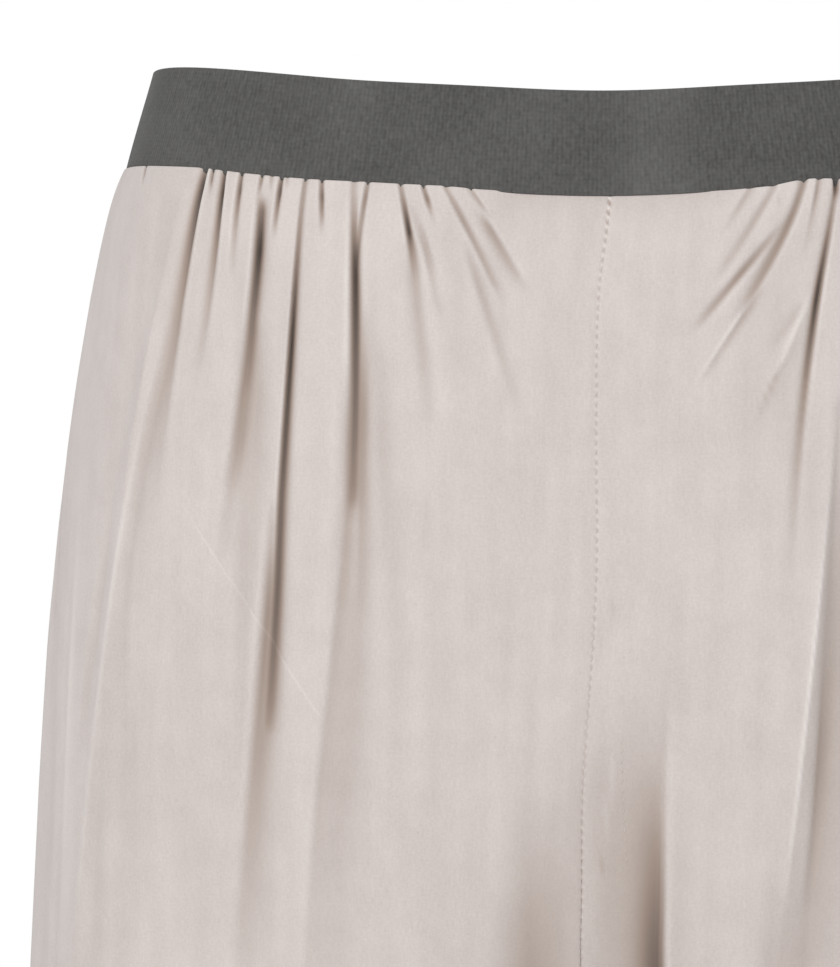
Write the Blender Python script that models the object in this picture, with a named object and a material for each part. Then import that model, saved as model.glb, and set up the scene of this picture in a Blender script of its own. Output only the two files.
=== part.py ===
"""Wide-leg pants with an exposed elastic waistband, filled out as when worn, hollow, open at waist and hems.

Metres, +Z up, the front faces -Y. The origin is the middle of the waistband's ring, at the height of the
band's middle at the sides. Left is -X and right is +X, as seen from the front.

Each panel is a thin wall on a grid. Its columns run round the body from the centre seam, or below the
crotch from the inseam, to the side seam. Its rows run down from the band to the hem. A place round the
body is a turn: 0 at the centre front, -1 and +1 at the side seams, -2 and +2 at the centre back.
"""

import math

import bpy
import numpy as np

MM = 0.001
LEFT, RIGHT = -1, 1
FRONT, BACK = -1, 1

# Driving sizes.
CLOTH_WALL = 0.0013
STEEPEST_WALL = 2.2  # on a fold's flank the wall is measured along the smooth form, up to this many times
BAND_WALL = 0.0018
BAND_HALF_HEIGHT = 0.0185
BAND_EDGE_ROUND = 0.0007
SEAM_GAP = 0.0003
FRONT_DIP = 0.0185  # how far the band's front hangs below its sides and back
HEM_LEVEL = -1.005
CROTCH_LEVEL = -0.336
FRONT_CURVE_START, FRONT_CURVE_POWER = -0.215, 3.0  # where the centre seam turns under, and how late
BACK_CURVE_START, BACK_CURVE_POWER = -0.195, 2.3
THIGH_START = -0.24  # where the front and back begin to round into two legs
THIGH_END = -0.48
SEAM_HOLD = 10  # above 1, the seam's own curve reaches less far round the body
EVEN_START = -0.34  # below this the columns even out round the leg
EVEN_END = -0.75
SQUARENESS = 0.035

# How the walls are divided. The upper rows hold the gathers, so they have twice as many columns.
FRONT_COLUMNS, BACK_COLUMNS = 64, 40
UPPER_DROPS = (0, 4, 10, 18, 29, 44, 63, 87)
BODY_DROPS = (118, 155, 195, 235, 266, 286, 302, 312, 317.2)
LEG_DROPS = (332, 364, 430, 530, 650, 780, 905)
COLUMN_CROWDING = 1.2  # above 1, columns lie closer at the centre seam and the inseam
BAND_COLUMNS = 72

# The smooth form, a row for each section from the band's top to the hem, in millimetres. Half width is
# from the middle to the side seam, front and back are from the side seams to the middle of each face.
# Inner is from the middle to the inseam, and inner_y is how far behind the side seams the inseam lies.
SECTION_COLUMNS = ("level", "half_width", "front", "back", "inner", "inner_y")
SECTIONS = (
    (18.5, 166.0, 103, 100, 0, -20),
    (-18.5, 176.0, 106, 106, 0, -20),
    (-32, 179.0, 108, 110, 0, -20),
    (-60, 184.8, 112, 117, 0, -20),
    (-104, 192.0, 117, 126, 0, -20),
    (-160, 198.0, 121, 133, 0, -20),
    (-206, 201.8, 122, 135, 0, -20),
    (-265, 204.9, 122, 133, 0, -20),
    (-336, 208.2, 120, 128, 1.5, -20),
    (-420, 212.0, 118, 122, 4, -16),
    (-560, 219.0, 115, 116, 8, -10),
    (-700, 225.0, 114, 114, 10, -6),
    (-850, 231.0, 115, 116, 11, -2),
    (-1005, 237.0, 118, 120, 12, 0),
)

# Where the centre-front seam runs, in millimetres off the middle.
SEAM_COLUMNS = ("level", "off_middle")
SEAM_ROUTE = (
    (18.5, 2),
    (-30, 2),
    (-75, -2),
    (-180, -3.5),
    (-235, -7.5),
    (-300, -8),
    (-336, 0),
    (-400, 0),
    (-1005, 0),
)

# Folds of the front, in millimetres. Top and low are how far across from the middle the fold lies at its
# two ends, seen from the front, and bow is how far it bends to the right halfway. Start is its drop
# below the band. Depth is how far it goes in, and below 0 it is a ridge. Lean above 0 makes the right
# flank the wide one and the left one steep. Peak is the share of its length at which it is deepest.
FOLD_COLUMNS = ("top", "low", "bow", "start", "length", "width", "depth", "lean", "peak")
LEFT_FRONT_FOLDS = (
    (-163, -164, 0, 0, 12, 2.2, 1.6, 0.0, 0.4),
    (-152, -190, 0, 2, 300, 5.0, -2.6, 0.3, 0.25),
    (-144, -178, 0, 0, 285, 3.6, 5.0, -0.6, 0.14),
    (-140, -140, 0, 0, 12, 1.8, 1.4, 0.0, 0.4),
    (-136, -149, 2, 0, 95, 3.0, 4.2, -0.3, 0.20),
    (-131, -132, 0, 0, 30, 2.2, 2.2, 0.0, 0.30),
    (-123, -144, 4, 0, 150, 3.4, 6.5, 0.45, 0.35),
    (-116, -115, 0, 0, 18, 1.8, 2.0, 0.0, 0.35),
    (-108, -134, 3, 0, 280, 3.2, 6.5, 0.0, 0.32),
    (-101, -99, 0, 0, 20, 1.8, 2.2, 0.0, 0.35),
    (-91, -103, 5, 0, 255, 3.2, 6.5, 0.4, 0.24),
    (-85, -87, 0, 0, 34, 2.0, 2.0, 0.0, 0.35),
    (-73, -62, 0, 0, 72, 2.6, 4.2, 0.2, 0.30),
    (-67, -32, 4, 4, 84, 3.8, 1.8, 0.0, 0.30),
    (-64, -59, 0, 0, 15, 1.8, 1.8, 0.0, 0.35),
    (-57, -27, 3, 0, 60, 2.8, 2.6, 0.2, 0.20),
    (-49, -20, 2, 0, 46, 2.6, 2.2, 0.2, 0.20),
    (-30, -28, 0, 215, 130, 12, 3.0, 0.0, 0.60),
    (-60, -66, 2, 110, 230, 14, -2.5, 0.0, 0.50),
)
RIGHT_FRONT_FOLDS = (
    (48, 40, 0, 0, 16, 2.6, 1.2, 0.0, 0.30),
    (60, 62, 0, 0, 14, 1.8, 1.6, 0.0, 0.35),
    (67, 29, 4, 2, 56, 3.0, 3.2, -0.2, 0.35),
    (70, 33, 5, 0, 74, 3.2, 4.2, -0.3, 0.30),
    (76, 73, 0, 0, 14, 1.8, 1.8, 0.0, 0.35),
    (77, 49, 2, 22, 70, 4.0, 2.0, 0.0, 0.45),
    (81, 69, 0, 0, 125, 3.2, 6.5, -0.4, 0.38),
    (83, 69, 0, 95, 200, 7.0, 4.0, 0.4, 0.40),
    (12, 18, 1, 165, 190, 7.0, 24, -0.55, 0.80),
    (45, 50, 0, 150, 190, 14, -2.0, 0.0, 0.50),
)
# A fold's cross-section, in its own widths: how round its line is, and the crest beyond each flank.
LINE_ROUNDING = 0.4
CREST_AT, CREST_SPREAD, CREST_SHARE = 2.6, 1.1, 0.28
BAND_STRENGTH = 0.35  # how deep a fold already is where it leaves the band, against its peak
WIDENING = 0.9  # how much wider a fold is at its end

# The cloth stands out this far just under the band, where it is flat and where it is gathered.
FLAT_PUFF, GATHERED_PUFF, PUFF_DROP = 0.0006, 0.0032, 0.008
FLAT_TURN, FLAT_FADE = 0.16, 0.14

MIRRORED_BEYOND = 95  # folds of the left front past this also lie on the right front, turned over
MIRRORED_SHIFT, MIRRORED_DEPTH, MIRRORED_LENGTH = 3, 0.92, 1.07

# The gathers of the back and over the side seams, spread by a rule with an uneven step.
BACK_GATHERS = 17
BACK_FIRST_TURN, BACK_LAST_TURN = 0.99, 1.96
BACK_FAN = 0.04  # turn by which a gather drifts away from the centre back on its way down
BACK_LEAST = {"length": 22, "width": 2.2, "depth": 1.6}
BACK_MORE_LENGTH, MOSTLY_SHORT = 250, 2.2
BACK_MORE_WIDTH, BACK_LONG_WIDTH = 1.4, 1.0
BACK_MORE_DEPTH, BACK_LONG_DEPTH = 2.2, 2.6
BACK_UNEVEN_STEP, BACK_LEAN, BACK_PEAK = 0.7, 0.8, 0.3
FAN_LENGTH = 200
UNEVEN_SEED = 11

# The soft flutes that the legs fall into, worked out from the turn at their top and at the hem.
FLUTE_COLUMNS = ("turn_top", "turn_hem", "start", "width", "depth")
FLUTES = (
    (0.20, 0.26, 400, 22, -8.0),
    (0.42, 0.40, 300, 20, 10.0),
    (0.58, 0.60, 330, 19, -9.0),
    (0.76, 0.78, 260, 18, 9.0),
    (0.95, 0.94, 420, 20, -6.0),
    (1.16, 1.15, 280, 19, 8.5),
    (1.36, 1.38, 360, 20, -8.5),
    (1.55, 1.57, 240, 20, 10.0),
    (1.76, 1.74, 400, 21, -8.0),
)
FLUTE_FULL_DROP = 900

# Over these the folds calm down to nothing at the inseam, and turn from the body's way out to the leg's.
INSEAM_CALM = 0.10
CROTCH_CALM = 0.036
LEG_OUT_FADE = 0.08

SHARE_STEP, LEVEL_STEP, SLOPE_RUN = 0.01, 0.0005, 0.0005  # how far apart slopes are measured
SATIN = (0.60, 0.53, 0.50, 1.0)
ELASTIC = (0.105, 0.103, 0.098, 1.0)


def table(rows, names):
    """A table as a dict of columns."""
    return {name: np.array([row[i] for row in rows], float) for i, name in enumerate(names)}


def smooth_step(x):
    """0 below 0, 1 above 1, and 3x^2 - 2x^3 between."""
    x = np.clip(x, 0, 1)
    return x * x * (3 - 2 * x)


def curve_through(rows, names, name, level):
    """A cubic through one column of a table, whose slope at each row is that of its neighbours."""
    columns = table(rows, names)
    order = np.argsort(columns["level"])
    knots, values = columns["level"][order] * MM, columns[name][order] * MM
    slopes = np.gradient(values, knots)
    level = np.clip(level, knots[0], knots[-1])
    i = np.clip(np.searchsorted(knots, level) - 1, 0, len(knots) - 2)
    span = knots[i + 1] - knots[i]
    t = (level - knots[i]) / span
    start = values[i] * (1 + 2 * t) * (1 - t) ** 2 + slopes[i] * span * t * (1 - t) ** 2
    end = values[i + 1] * t**2 * (3 - 2 * t) + slopes[i + 1] * span * t**2 * (t - 1)
    return start + end


def section(name, level):
    return curve_through(SECTIONS, SECTION_COLUMNS, name, level)


def oval(angle):
    """Across and forward shares of a slightly squared oval: sine and cosine with a third harmonic."""
    across = (np.sin(angle) + SQUARENESS * np.sin(3 * angle)) / (1 - SQUARENESS)
    forward = (np.cos(angle) - SQUARENESS * np.cos(3 * angle)) / (1 - SQUARENESS)
    return across, forward


def smooth_form(share, level, side, facing):
    """Points of a face of the garment before any fold.

    Share is 0 at the centre seam or the inseam and 1 at the side seam. Above the thighs a section is a
    quarter of an oval. Below the crotch it is half of a leg's oval. Between, the one turns into the
    other: slowly over the thigh, and along a quarter of a squared ellipse at the centre seam.
    """
    half, depth = section("half_width", level), section("front" if facing == FRONT else "back", level)
    inner, inner_y = section("inner", level), section("inner_y", level)
    angle = share * math.pi / 2
    across, forward = oval(angle)
    turned = np.arcsin(np.clip(2 * np.sin(angle) - 1, -1, 1))
    evened = smooth_step((EVEN_START - level) / (EVEN_START - EVEN_END))
    turned = turned + (math.pi * (share - 0.5) - turned) * evened
    leg_across, leg_forward = oval(turned)
    curve_start = FRONT_CURVE_START if facing == FRONT else BACK_CURVE_START
    power = FRONT_CURVE_POWER if facing == FRONT else BACK_CURVE_POWER
    under = np.clip((curve_start - level) / (curve_start - CROTCH_LEVEL), 0, 1)
    under = 1 - (1 - under**power) ** (1 / power)
    thigh = smooth_step((THIGH_START - level) / (THIGH_START - THIGH_END))
    leg = thigh + (under - thigh) * (1 - share) ** SEAM_HOLD
    x = (1 - leg) * half * across + leg * ((half + inner) / 2 + (half - inner) / 2 * leg_across)
    y = facing * depth * ((1 - leg) * forward + leg * leg_forward)
    y = y + leg * inner_y * (1 - leg_forward) * (1 - np.sin(turned)) / 2
    x = side * (x + SEAM_GAP / 2)
    y = y + facing * SEAM_GAP / 2
    z = level + 0 * share
    if facing == FRONT:
        x = x + curve_through(SEAM_ROUTE, SEAM_COLUMNS, "off_middle", level) * (1 - share) ** 6
        held = np.clip((level - HEM_LEVEL) / (-BAND_HALF_HEIGHT - HEM_LEVEL), 0, 1)
        z = z - FRONT_DIP * (1 - across**2) * held * (1 - leg)
    return np.stack([x, y, z], axis=-1)


def turn_of(across, level):
    """The turn at which the smooth front lies this far across, for each level."""
    angles = np.linspace(0, math.pi / 2, 400)
    share = np.interp(np.abs(across) / section("half_width", level), oval(angles)[0], angles * 2 / math.pi)
    return np.sign(across) * share


def crease(q, lean):
    """A valley's cross-section: 1 at its line, falling away on both flanks, with a soft crest beyond each."""
    q = q / np.where(q > 0, 1 + lean, 1 - lean)
    valley = np.exp(LINE_ROUNDING - np.sqrt(q * q + LINE_ROUNDING**2))
    crests = np.exp(-(((np.abs(q) - CREST_AT) / CREST_SPREAD) ** 2))
    return valley - CREST_SHARE * crests


def along_fold(share_down, peak, at_band):
    """How strong a fold is along its length: it grows to its peak and fades slowly after it."""
    first = BAND_STRENGTH if at_band else 0
    growing = first + (1 - first) * smooth_step(share_down / peak)
    fading = 1 - smooth_step((share_down - peak) / (1 - peak))
    inside = (share_down >= 0) & (share_down <= 1)
    return inside * np.where(share_down < peak, growing, fading)


def front_fold_rows():
    """The front's folds: the two tables, and the left's outer folds turned over onto the right."""
    rows = list(LEFT_FRONT_FOLDS) + list(RIGHT_FRONT_FOLDS)
    for row in LEFT_FRONT_FOLDS:
        fold = dict(zip(FOLD_COLUMNS, row))
        if -fold["top"] < MIRRORED_BEYOND:
            continue
        fold["top"] = -fold["top"] + MIRRORED_SHIFT
        fold["low"] = -fold["low"] + MIRRORED_SHIFT
        fold["bow"] = -fold["bow"]
        fold["lean"] = -fold["lean"]
        fold["depth"] *= MIRRORED_DEPTH
        fold["length"] *= MIRRORED_LENGTH
        rows.append(tuple(fold[name] for name in FOLD_COLUMNS))
    return rows


def front_folds():
    """Each fold of the front as its turn down the levels, and its sizes."""
    for row in front_fold_rows():
        fold = dict(zip(FOLD_COLUMNS, row))

        def turn_at(level, down, fold=fold):
            across = fold["top"] + (fold["low"] - fold["top"]) * down
            across = across + fold["bow"] * 4 * down * (1 - down)
            return turn_of(across * MM, level)

        yield turn_at, fold


def back_folds():
    """The gathers of the back, from a seeded rule: uneven in spacing, length, width and depth."""
    uneven = np.random.default_rng(UNEVEN_SEED)
    for side in (LEFT, RIGHT):
        for number in range(BACK_GATHERS):
            step, long, wide, deep, drift = uneven.random(5)
            place = (number + BACK_UNEVEN_STEP * (step - 0.5)) / (BACK_GATHERS - 1)
            turn = BACK_FIRST_TURN + (BACK_LAST_TURN - BACK_FIRST_TURN) * place
            fold = {
                "start": 0,
                "length": BACK_LEAST["length"] + BACK_MORE_LENGTH * long**MOSTLY_SHORT,
                "width": BACK_LEAST["width"] + BACK_MORE_WIDTH * wide + BACK_LONG_WIDTH * long,
                "depth": BACK_LEAST["depth"] + BACK_MORE_DEPTH * deep + BACK_LONG_DEPTH * long,
                "lean": BACK_LEAN * (drift - 0.5),
                "peak": BACK_PEAK,
            }
            outward = BACK_FAN * (2 * turn - 3) * (0.5 + drift) * fold["length"] / FAN_LENGTH

            def turn_at(level, down, side=side, turn=turn, outward=outward):
                return side * (turn - outward * down) + 0 * level

            yield turn_at, fold


def fold_depth(turn, level, speed):
    """How far the cloth stands out of the smooth form, from its gathers, folds and flutes.

    Speed is the cloth's length for one unit of turn, so a fold keeps its width round the body.
    """
    drop = -BAND_HALF_HEIGHT - level
    gathered = smooth_step((np.abs(turn) - FLAT_TURN) / FLAT_FADE)
    puff = FLAT_PUFF + (GATHERED_PUFF - FLAT_PUFF) * gathered
    out = puff * (1 - np.exp(-np.maximum(drop, 0) / PUFF_DROP))
    for turn_at, fold in [*front_folds(), *back_folds()]:
        down = (drop / MM - fold["start"]) / fold["length"]
        width = fold["width"] * MM * (1 + WIDENING * np.clip(down, 0, 1))
        q = (turn - turn_at(level, np.clip(down, 0, 1))) * speed / width
        strength = along_fold(down, fold["peak"], fold["start"] <= 2)
        out = out - fold["depth"] * MM * strength * crease(q, fold["lean"])
    flutes = table(FLUTES, FLUTE_COLUMNS)
    for side in (LEFT, RIGHT):
        for i in range(len(FLUTES)):
            start = flutes["start"][i]
            grown = smooth_step((drop / MM - start) / (FLUTE_FULL_DROP - start))
            middle = flutes["turn_top"][i] + (flutes["turn_hem"][i] - flutes["turn_top"][i]) * grown
            q = (turn - side * middle) * speed / (flutes["width"][i] * MM)
            out = out - flutes["depth"][i] * MM * grown * np.exp(-q * q)
    return out


def unit(vectors):
    return vectors / np.maximum(np.linalg.norm(vectors, axis=-1, keepdims=True), 1e-12)


def panel_surfaces(share, level, side, facing):
    """The outer and inner points of one panel, on a grid of shares by levels.

    Folds move the cloth level, along the body's own oval above the crotch and along the leg's below it.
    The wall's inner face lies behind the outer one along the smooth form's normal.
    """
    points = smooth_form(share, level, side, facing)
    ahead = np.minimum(share + SHARE_STEP, 1)
    behind = np.maximum(share - SHARE_STEP, 0)
    round_body = smooth_form(ahead, level, side, facing) - smooth_form(behind, level, side, facing)
    round_body = round_body / (ahead - behind)[..., None]
    higher = np.minimum(level + LEVEL_STEP, BAND_HALF_HEIGHT)
    lower = np.maximum(level - LEVEL_STEP, HEM_LEVEL)
    down = smooth_form(share, lower, side, facing) - smooth_form(share, higher, side, facing)
    normal = unit(np.cross(unit(round_body), unit(down))) * side * facing
    speed = np.linalg.norm(round_body, axis=-1)
    turn = side * (share if facing == FRONT else 2 - share)

    across, forward = oval(share * math.pi / 2)
    half, depth = section("half_width", level), section("front" if facing == FRONT else "back", level)
    body_out = unit(np.stack([side * across / half, facing * forward / depth, 0 * share], axis=-1))
    leg_out = unit(normal * np.array([1, 1, 0]))
    on_leg = smooth_step((CROTCH_LEVEL - level) / LEG_OUT_FADE)[..., None]
    out_way = unit(body_out * (1 - on_leg) + leg_out * on_leg)

    def out_at(turn_there):
        near_inseam = 1 - smooth_step(share / INSEAM_CALM)
        low = smooth_step((CROTCH_LEVEL + CROTCH_CALM - level) / CROTCH_CALM)
        return fold_depth(turn_there, level, speed) * (1 - low * near_inseam)

    out = out_at(turn)
    slope = (out_at(turn + SLOPE_RUN / speed) - out_at(turn - SLOPE_RUN / speed)) / (2 * SLOPE_RUN)
    wall = CLOTH_WALL * np.minimum(np.sqrt(1 + slope**2), STEEPEST_WALL)
    outer = points + out[..., None] * out_way
    return outer, outer - wall[..., None] * normal


def grid_faces(index):
    """Triangles of a grid of vertex numbers, every cell cut along the same diagonal, so two walls match."""
    a, b, c, d = index[:-1, :-1], index[:-1, 1:], index[1:, 1:], index[1:, :-1]
    triangles = [np.stack(corners, axis=-1).reshape(-1, 3) for corners in ((a, b, c), (a, c, d))]
    return np.concatenate(triangles).tolist()


def halving_faces(fine, coarse):
    """Triangles between a row of columns and the next row, which has every second column."""
    a, b, c = fine[0:-2:2], fine[1:-1:2], fine[2::2]
    d, e = coarse[:-1], coarse[1:]
    triangles = [np.stack(corners, axis=-1) for corners in ((a, b, d), (b, e, d), (b, c, e))]
    return np.concatenate(triangles).tolist()


def wall_faces(index, fine_rows, flip):
    """The faces of one side of a wall, with half the columns below fine_rows."""
    fine, coarse = index[: fine_rows + 1], index[fine_rows + 1 :, ::2]
    faces = grid_faces(fine) + halving_faces(fine[-1], coarse[0]) + grid_faces(coarse)
    return [face[::-1] for face in faces] if flip else faces


def rim_faces(outer, inner, flip):
    """Quads that close the wall along one edge."""
    quads = np.stack([outer[:-1], inner[:-1], inner[1:], outer[1:]], axis=-1).tolist()
    return [face[::-1] for face in quads] if flip else quads


def named_material(name, colour, roughness):
    material = bpy.data.materials.new(name)
    material.use_nodes = True
    shader = material.node_tree.nodes["Principled BSDF"]
    shader.inputs["Base Color"].default_value = colour
    shader.inputs["Roughness"].default_value = roughness
    shader.inputs["Metallic"].default_value = 0.0
    return material


def add_object(name, points, faces, material):
    mesh = bpy.data.meshes.new(name)
    mesh.from_pydata(points, [], faces)
    mesh.materials.append(material)
    mesh.shade_smooth()
    mesh.set_sharp_from_angle(angle=math.radians(50))
    piece = bpy.data.objects.new(name, mesh)
    bpy.context.scene.collection.objects.link(piece)
    return piece


def make_panel(name, side, facing, material):
    """A front or back panel: one closed wall from the band to the hem."""
    columns = FRONT_COLUMNS if facing == FRONT else BACK_COLUMNS
    drops = np.array(UPPER_DROPS + BODY_DROPS + LEG_DROPS) * MM + SEAM_GAP
    hem_drop = -BAND_HALF_HEIGHT - HEM_LEVEL
    levels = -BAND_HALF_HEIGHT - np.append(drops, hem_drop)
    shares = np.linspace(0, 1, columns + 1) ** COLUMN_CROWDING
    share, level = np.meshgrid(shares, levels)
    outer, inner = panel_surfaces(share, level, side, facing)
    fine_rows = len(UPPER_DROPS) - 1
    keep = np.ones(share.shape, bool)
    keep[fine_rows + 1 :, 1::2] = False
    count = int(keep.sum())
    index = np.full(share.shape, -1)
    index[keep] = np.arange(count)
    flip = side * facing < 0
    faces = wall_faces(index, fine_rows, flip) + wall_faces(index + count, fine_rows, not flip)
    bottom = index[-1, ::2]
    for edge, turned in ((index[0], False), (bottom, True), (index[:, 0], True), (index[:, -1], False)):
        faces += rim_faces(edge, edge + count, flip != turned)
    points = np.concatenate([outer[keep], inner[keep]])
    return add_object(name, points.tolist(), faces, material)


def make_waistband(material):
    """The elastic ring: a wall on the smooth form, its upper edge rounded over."""
    turns = np.arange(BAND_COLUMNS) * 4 / BAND_COLUMNS - 2
    profile = (
        (0, -BAND_HALF_HEIGHT),
        (0, BAND_HALF_HEIGHT - BAND_EDGE_ROUND),
        (BAND_EDGE_ROUND, BAND_HALF_HEIGHT),
        (BAND_WALL - BAND_EDGE_ROUND, BAND_HALF_HEIGHT),
        (BAND_WALL, BAND_HALF_HEIGHT - BAND_EDGE_ROUND),
        (BAND_WALL, -BAND_HALF_HEIGHT),
    )
    angle = turns * math.pi / 2
    across, forward = oval(angle)
    rings = []
    for inset, level in profile:
        depth = np.where(np.abs(turns) <= 1, section("front", level), section("back", level))
        x, y = section("half_width", level) * across, -depth * forward
        dip = np.where(np.abs(turns) < 1, FRONT_DIP * (1 - across**2), 0)
        outward = unit(np.stack([across / section("half_width", level), -forward / depth], axis=-1))
        rings.append(np.stack([x - inset * outward[:, 0], y - inset * outward[:, 1], level - dip], axis=-1))
    count = len(turns)
    index = np.arange(len(profile) * count).reshape(len(profile), count)
    index = np.concatenate([index, index[:1]])
    index = np.concatenate([index, index[:, :1]], axis=1)
    faces = grid_faces(index)
    return add_object("waistband", np.concatenate(rings).tolist(), faces, material)


def main():
    for leftover in list(bpy.data.objects):
        bpy.data.objects.remove(leftover)
    satin = named_material("dusty_greige_satin", SATIN, 0.5)
    elastic = named_material("charcoal_elastic", ELASTIC, 0.75)
    make_waistband(elastic)
    for side, hand in ((LEFT, "left"), (RIGHT, "right")):
        make_panel("front_" + hand, side, FRONT, satin)
        make_panel("back_" + hand, side, BACK, satin)


main()
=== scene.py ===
import math

import bpy
import numpy as np

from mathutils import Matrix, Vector


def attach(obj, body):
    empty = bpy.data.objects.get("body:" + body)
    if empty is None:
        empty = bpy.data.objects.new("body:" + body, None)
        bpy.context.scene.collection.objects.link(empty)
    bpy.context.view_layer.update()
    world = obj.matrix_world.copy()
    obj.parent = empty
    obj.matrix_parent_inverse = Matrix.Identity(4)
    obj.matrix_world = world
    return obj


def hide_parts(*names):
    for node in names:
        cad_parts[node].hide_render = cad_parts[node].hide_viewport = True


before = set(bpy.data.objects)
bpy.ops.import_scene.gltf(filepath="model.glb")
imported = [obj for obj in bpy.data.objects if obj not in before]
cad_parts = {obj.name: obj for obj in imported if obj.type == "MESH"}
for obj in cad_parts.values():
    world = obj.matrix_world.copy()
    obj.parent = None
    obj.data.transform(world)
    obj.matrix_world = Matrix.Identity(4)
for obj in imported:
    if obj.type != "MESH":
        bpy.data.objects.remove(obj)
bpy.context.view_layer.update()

# Front panels. Two long pieces of fluid satin, cut alike and turned over, each from the waist to the
# hem. The top edge is gathered onto the stretched elastic at the sides and lies flat in the middle, and
# the gathers fall into long soft folds. All sizes are in metres, or in millimetres in the tables.

MM = 0.001
LEFT, RIGHT = -1, 1
FRONT, BACK = -1, 1
BAND_HALF_HEIGHT = 0.0185
FRONT_DIP = 0.0170  # how far the band's front hangs below its sides and back
GATHER_LIFT, LIFT_END = 0.0007, 0.6  # the band's line stands higher where the gathers begin
HEM_LEVEL = -1.005
CROTCH_LEVEL = -0.336
CURVE_START = {FRONT: -0.235, BACK: -0.195}  # where the centre seam turns under
CURVE_POWER = {FRONT: 4.5, BACK: 2.3}
THIGH_START, THIGH_END = -0.24, -0.48  # where front and back round into two legs
SEAM_HOLD, ROUTE_HOLD = 10, 6  # powers that keep the turn, and the seam's route, near the seam
EVEN_START, EVEN_END = -0.34, -0.75
SQUARENESS = 0.035
INSEAM_CALM, CROTCH_CALM, LEG_OUT_FADE = 0.10, 0.036, 0.08
SHARE_STEP, LEVEL_STEP = 0.01, 0.0005

# The smooth form. Half width is from the middle to the side seam, front and back from the side seams to
# the middle of each face, inner from the middle to the inseam, inner_y how far behind it lies.
SECTION_COLUMNS = ("level", "half_width", "front", "back", "inner", "inner_y")
SECTIONS = (
    (18.5, 166.0, 103, 100, 0, -20),
    (-18.5, 176.0, 106, 106, 0, -20),
    (-32, 179.0, 108, 110, 0, -20),
    (-60, 184.8, 112, 117, 0, -20),
    (-104, 192.6, 117, 126, 0, -20),
    (-160, 198.9, 121, 133, 0, -20),
    (-206, 202.1, 122, 135, 0, -20),
    (-265, 204.9, 122, 133, 0, -20),
    (-336, 208.2, 120, 128, 1.5, -20),
    (-420, 212.0, 118, 122, 4, -16),
    (-560, 219.0, 115, 116, 8, -10),
    (-700, 225.0, 114, 114, 10, -6),
    (-850, 231.0, 115, 116, 11, -2),
    (-1005, 237.0, 118, 120, 12, 0),
)
SEAM_COLUMNS = ("level", "off_middle")
SEAM_ROUTE = (
    (18.5, 2), (-20, 2), (-57, -2), (-93, -2.8), (-165, -3.2), (-207, -6), (-230, -7.5),
    (-270, -8), (-305, -8), (-336, -4), (-380, 0), (-1005, 0),
)

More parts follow.
